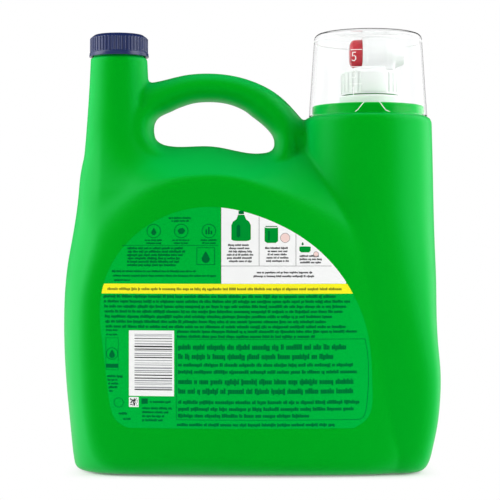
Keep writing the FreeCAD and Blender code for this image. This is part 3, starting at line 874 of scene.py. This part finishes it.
def make_collar():
    """Screw ring with ribs all round but for two smooth grip pads."""
    low, high = 260.4, 276.8
    side, inside = 19.9, 18.4
    profile = [
        (inside, low, 0.3), (side, low, 0.4), (side, low + 1.3), (side, low + 1.6),
        (side, (low + high) / 2), (side, high - 1.8), (side, high - 1.5), (side, high, 1.2),
        (13.1, high, 0.3), (13.1, high - 1.8, 0.2), (inside, high - 1.8, 0.4),
    ]
    pitch = math.radians(12.5)
    half_pad = math.radians(27.5)
    middle = math.radians(4)

    def wave(angles):
        from_pad = np.abs((angles + math.pi / 2 - middle + math.pi / 2) % math.pi - math.pi / 2)
        pad = np.clip((half_pad - from_pad) / 0.02, 0, 1) * 0.5
        phase = (from_pad - half_pad) / pitch
        rib = np.clip(1.6 * np.cos((phase % 1 - 0.5) * 2 * math.pi) - 0.6, 0, 1) * 0.5
        return np.where(from_pad < half_pad, pad, 1.7 * rib - 0.35)

    shape = lathe(profile, (TAP_X, 0, 0), 720, wave=wave, waved=(low + 1.5, high - 1.55, 19.0))
    piece("tap_collar_ribbed", shape, TAP_WHITE, "bottle", "tap_collar")


def box_field(point, low, high, edge):
    """Rounded box between two corners."""
    q = [np.abs(value - (a + b) / 2) - (b - a) / 2 + edge for value, a, b in zip(point, low, high)]
    outside = np.sqrt(sum(np.clip(v, 0, None) ** 2 for v in q))
    return outside + np.minimum(np.maximum(np.maximum(q[0], q[1]), q[2]), 0) - edge


def tap_field(x, y, z):
    """Tap housing: barrel, cone and spout on a saddle, hollowed for the button and the flow."""
    radial = np.sqrt(y**2 + (z - TAP_AXIS_HEIGHT) ** 2)
    start, end = 76.7, 106.3
    cone = np.interp(x, [93.4, 99.2, end], [11.6, 10.2, 7.3])
    barrel = smooth_max(radial - cone, np.maximum(start - x, x - end), 1.2)
    saddle = box_field((x, y, z), (start, -8.5, 277.2), (98.7, 8.5, 290), 1.4)
    post = np.maximum(np.sqrt((x - TAP_X) ** 2 + y**2) - 12.8, np.maximum(273.2 - z, z - 279.6))
    field = smooth_min(smooth_min(barrel, saddle, 1.6), post, 0.8)
    rim = np.maximum(radial - 12.0, np.abs(x - 78.2) - 1.5)
    field = smooth_min(field, rim, 0.5)
    for radius, start, end in TAP_HOLLOWS:
        bore = np.maximum(radial - radius, np.maximum(start - x, x - end))
        field = smooth_max(field, -bore, 0.6)
    stem_way = np.maximum(radial - 2.08, np.abs(x - 84) - 4)
    return np.maximum(field, -stem_way)


def make_tap():
    """Tap housing with its flange on the neck and its skirt into the collar."""
    step = 0.55
    x, y, z = np.ix_(np.arange(68.6, 108.3, step), np.arange(-13.2, 13.3, step), np.arange(272, 302.6, step))
    housing = net_shape(tap_field(x, y, z), (x[0, 0, 0], y[0, 0, 0], z[0, 0, 0]), step, rounds=2)
    flange = [(0, 273.2), (18.0, 273.2, 0.3), (18.0, 275.0, 0.3), (0, 275.0)]
    skirt = [(13.85, 266.2), (15.15, 266.2), (15.15, 274.0), (13.85, 274.0)]
    turned = [lathe(flange, (TAP_X, 0, 0), 96, closed=False), lathe(skirt, (TAP_X, 0, 0), 96)]
    shape = merged([housing] + turned)
    piece("tap_housing", shape, TAP_WHITE, "bottle", "tap_body", weighted=False)


def make_button():
    """Push button: a cup with a hub in it, open to the right."""
    start, end = 68.0, 78.5
    profile = [
        (0, start + 0.5), (0, start + 2.3), (5.0, start + 2.3, 0.3), (5.0, start + 4.9, 0.3),
        (8.7, start + 4.9, 0.8), (8.7, end, 0.3), (10.2, end, 0.3), (10.2, start + 4.0, 2.0),
        (9.2, start + 1.3, 2.5), (6.2, start, 1.2), (3.0, start + 0.3, 1.0),
    ]
    shape = lathe(profile, (0, 0, TAP_AXIS_HEIGHT), 128, 6, along="x")
    piece("tap_push_button", shape, BUTTON_RED, "button", "tap_button")


# The clear cup

def cup_radius(z, inset=0.0):
    """Radius of the cup's side at a height."""
    return CUP_RIM - inset - CUP_TAPER * ramp(z, CUP_LOW, CUP_HIGH - CUP_EDGE)


def cup_side(inset):
    """Points up one face of the cup's wall and round its corner."""
    reach = CUP_EDGE - inset
    points = [(CUP_RIM - inset, CUP_LOW, 0.5)]
    points += [(cup_radius(z, inset), z) for z in CUP_LOW + np.array([3, 8, 13, 25, 40])]
    for t in np.linspace(0, math.pi / 2, 9):
        radius = CUP_RIM - CUP_TAPER - inset - reach * (1 - math.cos(t))
        points.append((radius, CUP_HIGH - CUP_EDGE + reach * math.sin(t)))
    return points


def make_cup():
    """Clear cup, upside down, with a wide notch in the front of its rim."""
    crown = [(24, CUP_HIGH + 0.45), (12, CUP_HIGH + 0.7), (0, CUP_HIGH + 0.8)]
    crown += [(0, CUP_HIGH - 0.7), (12, CUP_HIGH - 0.8), (24, CUP_HIGH - 1.05)]
    vertices, faces = lathe(cup_side(0) + crown + cup_side(CUP_WALL)[::-1], (0, 0, 0), 288)
    notch_top, half_low, half_high, reach = 7.3, 11.85, 4.5, 13.0
    across = np.abs(vertices[:, 0])
    slope = [half_high - 1.5, half_high + 1, half_low - 1, half_low + 1.5]
    rise = notch_top * np.interp(across, slope, [1, 0.86, 0.08, 0])
    height = vertices[:, 2] - CUP_LOW
    in_notch = (vertices[:, 1] < 0) & (height < reach)
    vertices[:, 2] += np.where(in_notch, rise * (1 - height / reach), 0)
    shape = (vertices + np.array([COLUMN_X, 0, 0]), faces)
    piece("dosing_cup_clear", shape, CUP_CLEAR, "cup", "dosing_cup")


def stroke_on_cup(points, half_width, relief):
    """Raised line on the cup's side through (angle in degrees from the front, height) points."""
    dense = []
    for a, b in zip(points, points[1:]):
        dense.append(np.linspace(a, b, max(1, int(abs(b[0] - a[0]) / 2)), endpoint=False))
    dense = np.concatenate(dense + [points[-1:]])
    sections = []
    for (angle, z), (turn, rise) in zip(dense, np.gradient(dense, axis=0)):
        radius = cup_radius(z)
        along = np.array([math.radians(turn) * radius, rise])
        side_z, side_x = along * [1, -1] * half_width / np.linalg.norm(along)
        corners = []
        for sign, lift in ((-1, -0.1), (-1, relief), (1, relief), (1, -0.1)):
            at = math.radians(angle) + sign * side_x / radius
            height = z + sign * side_z
            r = cup_radius(height) + lift
            corners.append((COLUMN_X + r * math.sin(at), -r * math.cos(at), height))
        sections.append(corners)
    return swept(sections)


def make_cup_scale():
    """Level lines with plain numbers, and the edges of the notch, moulded on the cup's front."""
    strokes = []
    for number, z in (("1", 264.8), ("3", 276.5), ("5", 288.2)):
        strokes.append(stroke_on_cup([(-22, z), (-10, z)], 0.2, 0.2))
        for line in FIGURES[number]:
            placed = [(-20.5 + 4.6 * x, z - 7.6 + 5.8 * h) for x, h in line]
            strokes.append(stroke_on_cup(placed, 0.3, 0.2))
    left_edge = [(-16.1, 0.5), (-13.6, 1.7), (-11, 4.2), (-7.8, 6.9)]
    right_edge = [(6.3, 7.6), (9.4, 4.4), (12.6, 1.4), (16.4, 0.4)]
    for edge in (left_edge, right_edge):
        strokes.append(stroke_on_cup([(angle, CUP_LOW + height) for angle, height in edge], 0.2, 0.25))
    strokes.append(stroke_on_cup([(a, CUP_HIGH - 5.6) for a in range(0, 361, 6)], 0.25, 0.15))
    piece("cup_scale_marks", merged(strokes), MARK_FROST, "cup", smooth=False)


# Labels and print

LABEL_CURVE = smooth_curve(LABEL_OUTLINE, 600)
LABEL_RIGHT = int(np.argmax(LABEL_CURVE[:, 0]))
LABEL_LEFT = int(np.argmin(LABEL_CURVE[:, 0]))


def label_top(x):
    upper = LABEL_CURVE[LABEL_RIGHT : LABEL_LEFT + 1][::-1]
    return float(np.interp(x, upper[:, 0], upper[:, 1]))


def label_low(x):
    right = LABEL_CURVE[: LABEL_RIGHT + 1]
    left = LABEL_CURVE[LABEL_LEFT:]
    if x > right[0, 0]:
        return float(np.interp(x, right[:, 0], right[:, 1]))
    if x < left[-1, 0]:
        return float(np.interp(x, left[:, 0], left[:, 1]))
    return LABEL_BOTTOM


def label_columns(x0, x1, low=-math.inf, high=math.inf, inset=0.0):
    """Columns of the part of the label between two X and, where given, two heights."""
    columns = []
    for share in (1 - np.cos(np.linspace(0, math.pi, 72))) / 2:
        x = x0 + (x1 - x0) * share
        z0 = max(label_low(x) + inset, low)
        z1 = min(label_top(x) - inset, high)
        columns.append((x, min(z0, z1 - SLIVER), z1))
    return columns


def label_base(side):
    """The label's film on one face."""
    ends = LABEL_CURVE[LABEL_LEFT, 0] + SLIVER, LABEL_CURVE[LABEL_RIGHT, 0] - SLIVER
    return film(label_columns(*ends), -0.04, BASE_LIFT, side)


def rows_of_words(rows):
    """Dummy text from rows of (first X, last X, base line, letter height)."""
    blocks = []
    for x0, x1, z, height in rows:
        blocks += dummy_words(x0, x1, z, height)
    return blocks


def print_piece(name, column_sets, material, lift=LETTER_LIFT):
    label_piece(name, merged([film(columns, PRINT_LOW, lift) for columns in column_sets]), material)


def make_usage_label():
    """The label's film, the yellow band, the white fields and all print."""
    label_piece("usage_label_film", label_base(-1), LABEL_GREEN, "usage_label")
    left = LABEL_CURVE[LABEL_LEFT, 0] + 0.9
    band = [column for column in label_columns(left, 67.6, 123.3, 129.9, 0.2) if column[2] > 123.4]
    print_piece("label_band_yellow", [band], PRINT_YELLOW, FIELD_LIFT)
    panel = [column for column in label_columns(-20.8, 62.8, 130.0, inset=0.1) if column[2] > 130.1]
    code = bar(-82.8, -52.3, 54.7, 98.6)
    square = bar(-82.8, -76.2, 47.2, 53.9)
    print_piece("label_fields_white", [panel, code, square], PRINT_WHITE, FIELD_LIFT)
    make_panel_print()
    make_left_print()
    make_lower_print()
    make_code()


def make_panel_print():
    """Print on the white panel: three steps as simple signs with dummy text under them."""
    black = [bar(-21.0, -20.7, 130.0, label_top(-21) - 0.3)]
    black += [bar(-20.7, 53, 141.7, 141.95)]
    black += [bar(4.4, 4.65, 142, label_top(4.5) - 0.4), bar(29.0, 29.25, 142, label_top(29) - 0.4)]
    rows = []
    for x0, x1, top, count in ((-17.5, 1.5, 155.2, 6), (8.5, 25.5, 153.2, 5), (31.0, 47.5, 147.9, 3)):
        for i in range(count):
            inset = rng.uniform(0, 2.2)
            rows.append((x0 + inset, x1 - inset, top - 2.15 * i, 1.0))
    rows += [(3.0, 40.0, 136.9, 1.0), (0.8, 42.0, 134.4, 1.0)]
    print_piece("panel_print_black", black + rows_of_words(rows), PRINT_BLACK)

    # A jug, a tall cup with a level bar, and a low cup under a drop, each beside a plain pink disc
    green = [
        [(-14, 159.5, 169), (-12.8, 158.8, 171.5), (-10.6, 158.5, 173), (-9.4, 158.5, 176),
         (-5.4, 158.5, 176), (-4.2, 158.5, 173), (-2.2, 158.8, 171.5), (-1.0, 159.5, 169)],
        [(8.2, 158.4, 167.6), (9.8, 157.2, 167.2), (15.6, 157.2, 167.2), (17.2, 158.4, 167.6)],
        [(31.4, 152.0, 154.6), (32.6, 150.9, 154.9), (37.8, 150.9, 154.9), (39.0, 152.0, 154.6)],
    ]
    print_piece("panel_signs_green", green, PRINT_GREEN)
    dark = [
        [(-9.2, 176.4, 178.6), (-5.6, 176.4, 178.6)],
        [(-10.5, 161.5, 168.5), (-9.2, 160.8, 169.6), (-8.0, 161.5, 168.5)],
        [(10.6, 158.8, 165.4), (11.6, 158.8, 165.4)],
        bar(8.8, 16.6, 167.9, 168.5),
        drop(33.6, 156.4, 0.75),
    ]
    print_piece("panel_signs_dark", dark, PRINT_DARK, LETTER_LIFT + 0.01)
    discs = ((21.9, 160.6, 3.0, 0.22), (42.6, 149.7, 1.6, 0.2))
    print_piece("panel_signs_pink", [disc(x, z, radius) for x, z, radius, _ in discs], PRINT_PINK)
    outlines = [ring_film(x, z, radius, radius + width) for x, z, radius, width in discs]
    label_piece("panel_sign_rings", merged(outlines), PRINT_BLACK)


def make_left_print():
    """Print above the band at the left: rings with plain signs, lines of dummy text and a framed drop."""
    rings = [ring_film(x, 165.2, 4.35, 4.75) for x in (-66.0, -47.5, -29.0)]
    dark = [drop(-66.0, 164.2, 1.7)]
    dark += [[(-49.9, 165.1, 165.5), (-48.7, 163.2, 166.9), (-46.4, 163.2, 167.3), (-44.9, 165.3, 165.6)]]
    dark += [bar(-31.2, -30.2, 163, 166.2), bar(-29.5, -28.5, 163, 167.8), bar(-27.8, -26.8, 163, 165.4)]
    dark += [bar(-87.5, -22.9, 155.4, 155.7)]
    dark += frame_film(-37.2, -25.0, 142.6, 154.2, 0.35)
    dark += [drop(-31.1, 146.6, 2.7)]
    rows = []
    for x0, x1 in ((-72, -60), (-53.5, -41.5), (-34.5, -23.5)):
        rows += [(x0, x1, 158.6, 0.85), (x0 + 1, x1 - 1, 156.6, 0.85)]
    rows += [(-56, -40, 173.4, 0.9), (-54, -42, 171.4, 0.9)]
    for i in range(6):
        rows.append((-84.5 + rng.uniform(0, 1), -41 - rng.uniform(0, 9), 153.0 - 2.25 * i, 1.15))
    rows += [(-94.5, -35 - rng.uniform(0, 3), 137.7, 0.95)]
    rows += [(-93.8, -24, 134.7, 0.95), (-93.0, -80, 131.8, 0.95)]
    label_piece("label_rings", merged(rings), PRINT_DARK)
    print_piece("label_left_print", dark + rows_of_words(rows), PRINT_DARK)


def make_lower_print():
    """Dummy text below the band, and the framed block beside the code."""
    print_piece("label_band_words", rows_of_words([(-97.5, 62.0, 125.6, 1.35)]), PRINT_OLIVE)
    rows = []
    for i, last in enumerate((58, 66, 64.5, 61, 54, 52.5, 62.5)):
        rows.append((-100.2 + 0.25 * i, last, 120.58 - 3.379 * i, 1.45))
    rows += [(-50.4, 72.0, 97.19, 1.4), (-50.4, 42.0, 93.86, 1.4)]
    for z, height, last in LOWER_LINES:
        rows.append((-49.6, last - rng.uniform(0, 2), z, height))
    rows += [(-50.4, 56.0, 34.88, 1.5)]
    rows += [(-98.5, -90.5, 98.19 - 3.065 * i, 0.9) for i in range(2)]
    rows += [(-97.83 + 0.4 * i, -86.84 - 1.333 * i, 67.0 - 2.466 * i, 1.15) for i in range(5)]
    rows += [(-73.84, -53.52 - 2.0 * i, 45.88 - 2.666 * i, 1.15) for i in range(4)]
    rows += [(-89.84, -81.84, 42.01, 1.2), (-86.84, -81.51, 38.55, 1.0), (-68.51, -54.19, 50.21, 1.1)]
    dark = frame_film(-98.7, -90.04, 71.87, 93.52, 0.2)
    dark += [bar(-98.57, -90.17, 73.33, 76.0), drop(-94.37, 81.86, 2.0), bar(-74.31, -70.05, 49.47, 53.01)]
    edge = [(x, 92.8, 93.1) for x in np.linspace(-50.7, 75.6, 24)]
    foot = [(x, 38.9, 39.2) for x in np.linspace(-50.7, 72.0, 24)]
    dark += [edge, foot, bar(-50.9, -50.65, 39.2, 92.8)]
    rings = [ring_film(-89.84, 50.07, 3.0, 3.3), ring_film(-94.37, 82.86, 3.7, 4.1)]
    print_piece("label_lower_print", dark + rows_of_words(rows), PRINT_DARK)
    label_piece("label_lower_rings", merged(rings + [side_of_frame()]), PRINT_DARK)


def side_of_frame():
    """The frame's right side, which follows the label's edge."""
    points = [(75.6, 93.0), (77.2, 84), (77.9, 74), (77.8, 62)]
    points += [(76.9, 50), (75.6, 43), (74.0, 40.2), (72.0, 39.0)]
    half_width = 0.14
    curve = smooth_curve(points, 40)
    direction = np.gradient(curve, axis=0)
    direction /= np.linalg.norm(direction, axis=1)[:, None]
    sideways = direction[:, ::-1] * [-half_width, half_width]
    return strip_film(zip(curve - sideways, curve + sideways))


def make_code():
    """Stripes in place of a product code, and a chequered square; both are random."""
    stripes = []
    pale = []
    z = 96.2
    while z > 58.0:
        tall = float(rng.choice([0.35, 0.5, 0.75, 1.0]))
        target = stripes if rng.random() < 0.6 else pale
        target.append(bar(-79.0, -53.6, z - tall, z))
        z -= tall + float(rng.choice([0.6, 0.9, 1.3]))
    cells = []
    for i in range(9):
        for j in range(9):
            if rng.random() < 0.45:
                x, low = -82.0 + 0.56 * i, 48.0 + 0.56 * j
                cells.append([(x, low, low + 0.56), (x + 0.56, low, low + 0.56)])
    print_piece("code_stripes_black", stripes + cells, PRINT_BLACK)
    print_piece("code_stripes_grey", pale, PRINT_GREY)


make_bottle()
make_vent_cap()
make_liner()
make_collar()
make_tap()
make_button()
make_cup()
make_cup_scale()
make_usage_label()
label_piece("display_label_film", label_base(1), LABEL_GREEN, "display_label")

CARRIED = {
    "tap_gasket": SEAL_RUBBER,
    "tap_stem": TAP_WHITE,
    "tap_seal": SEAL_RUBBER,
    "stem_o_ring": SEAL_RUBBER,
    "tap_spring": SPRING_STEEL,
}
for node, material in CARRIED.items():
    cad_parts[node].data.materials.clear()
    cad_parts[node].data.materials.append(material)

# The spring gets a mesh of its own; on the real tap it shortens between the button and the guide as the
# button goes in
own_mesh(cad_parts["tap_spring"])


# Camera, light and floor

def add_camera():
    data = bpy.data.cameras.new("camera")
    data.sensor_width = SENSOR_WIDTH
    data.lens = SENSOR_WIDTH * FOCAL_SHARE
    data.clip_start = 0.05
    camera = bpy.data.objects.new("camera", data)
    camera.location = Vector((EYE_SIDE, -DISTANCE, EYE_HEIGHT)) * MM
    camera.rotation_euler = (math.pi / 2, 0, 0)
    bpy.context.collection.objects.link(camera)
    bpy.context.scene.camera = camera


def add_softbox(name, place, aim, width, height, power):
    data = bpy.data.lights.new(name, "AREA")
    data.shape = "RECTANGLE"
    data.size = width
    data.size_y = height
    data.energy = power
    light = bpy.data.objects.new(name, data)
    light.location = place
    light.rotation_euler = (Vector(aim) - Vector(place)).to_track_quat("-Z", "Y").to_euler()
    bpy.context.collection.objects.link(light)


def seen_or_through(tree, path):
    """1 for rays from the camera and rays through clear plastic."""
    return math_node(tree, "MAXIMUM", path.outputs["Is Camera Ray"], path.outputs["Is Transmission Ray"])


def add_world():
    """White to the camera and through clear plastic; in reflections dim, and darker in front and above."""
    world = bpy.data.worlds.new("studio")
    bpy.context.scene.world = world
    world.use_nodes = True
    tree = world.node_tree
    path = add_node(tree, "LightPath", {})
    place = add_node(tree, "TexCoord", {}).outputs["Generated"]
    split = add_node(tree, "SeparateXYZ", {"Vector": place})
    behind = map_range(tree, split.outputs["Y"], -0.55, 0.35, WORLD_FRONT, WORLD_BEHIND)
    above = map_range(tree, split.outputs["Z"], 0.1, 0.6, 1.0, 0.15)
    mirrored = math_node(tree, "MULTIPLY", behind, above)
    glossy = math_node(tree, "MULTIPLY", mirrored, path.outputs["Is Glossy Ray"])
    shown = math_node(tree, "MAXIMUM", seen_or_through(tree, path), glossy)
    diffuse = math_node(tree, "MULTIPLY", path.outputs["Is Diffuse Ray"], WORLD_FILL)
    strength = math_node(tree, "MAXIMUM", shown, diffuse)
    connect(tree.nodes["Background"], {"Color": (1, 1, 1, 1), "Strength": strength})


# Half-width and half-depth of the bottle's foot, in metres
FOOT = (0.100, 0.030, 0)


def add_floor():
    """Pale floor that keeps the shadow near the bottle and turns into the white background."""
    size = 8.0
    mesh = bpy.data.meshes.new("floor")
    corners = [(-size, -size, 0), (size, -size, 0), (size, size, 0), (-size, size, 0)]
    mesh.from_pydata(corners, [], [(0, 1, 2, 3)])
    floor = bpy.data.objects.new("floor", mesh)
    floor.location.z = -0.0002
    bpy.context.collection.objects.link(floor)
    material, tree, shader = new_material("pale_floor")
    connect(shader, {"Base Color": (0.9, 0.9, 0.9, 1), "Roughness": 0.9, "Specular IOR Level": 0.2})
    # Distance from the foot: what is left of the place once the foot's half sizes are taken off
    last = object_place(tree)
    for operation, value in (("ABSOLUTE", None), ("SUBTRACT", FOOT), ("MAXIMUM", (0, 0, 0))):
        inputs = {0: last, 1: value} if value else {0: last}
        last = add_node(tree, "VectorMath", inputs, operation=operation).outputs["Vector"]
    away = add_node(tree, "VectorMath", {0: last}, operation="LENGTH").outputs["Value"]
    fade = map_range(tree, away, 0, 0.032, 0.1, 1, "SMOOTHSTEP")
    path = add_node(tree, "LightPath", {})
    straight = math_node(tree, "MULTIPLY", fade, seen_or_through(tree, path))
    mirrored = math_node(tree, "MULTIPLY", path.outputs["Is Glossy Ray"], 0.8)
    share = math_node(tree, "MAXIMUM", straight, mirrored)
    glow = add_node(tree, "Emission", {"Color": (1, 1, 1, 1)})
    mix = add_node(tree, "MixShader", {0: share, 1: shader.outputs[0], 2: glow.outputs[0]})
    connect(tree.nodes["Material Output"], {"Surface": mix.outputs[0]})
    mesh.materials.append(material)


add_camera()
add_world()
add_floor()
add_softbox("left_box", (-0.97, -0.12, 0.5), (0, 0, 0.15), 0.7, 1.2, 8.2)
add_softbox("left_high_box", (-0.72, -0.42, 0.88), (-0.05, 0, 0.2), 0.5, 0.5, 1.8)
add_softbox("right_high_box", (0.75, 0.0, 0.95), (-0.05, 0, 0.2), 0.6, 0.6, 1.9)
add_softbox("right_box", (0.95, -0.35, 0.5), (0, 0, 0.15), 0.7, 1.2, 8.2)
add_softbox("left_back_box", (-0.85, 0.5, 0.45), (0, 0, 0.15), 0.5, 1.0, 1.2)
add_softbox("right_back_box", (0.85, 0.5, 0.45), (0, 0, 0.2), 0.5, 1.0, 2.6)
add_softbox("front_box", (0.0, -2.2, 0.9), (0, 0, 0.15), 1.6, 1.2, 1.6)
bpy.context.scene.view_settings.view_transform = "Standard"
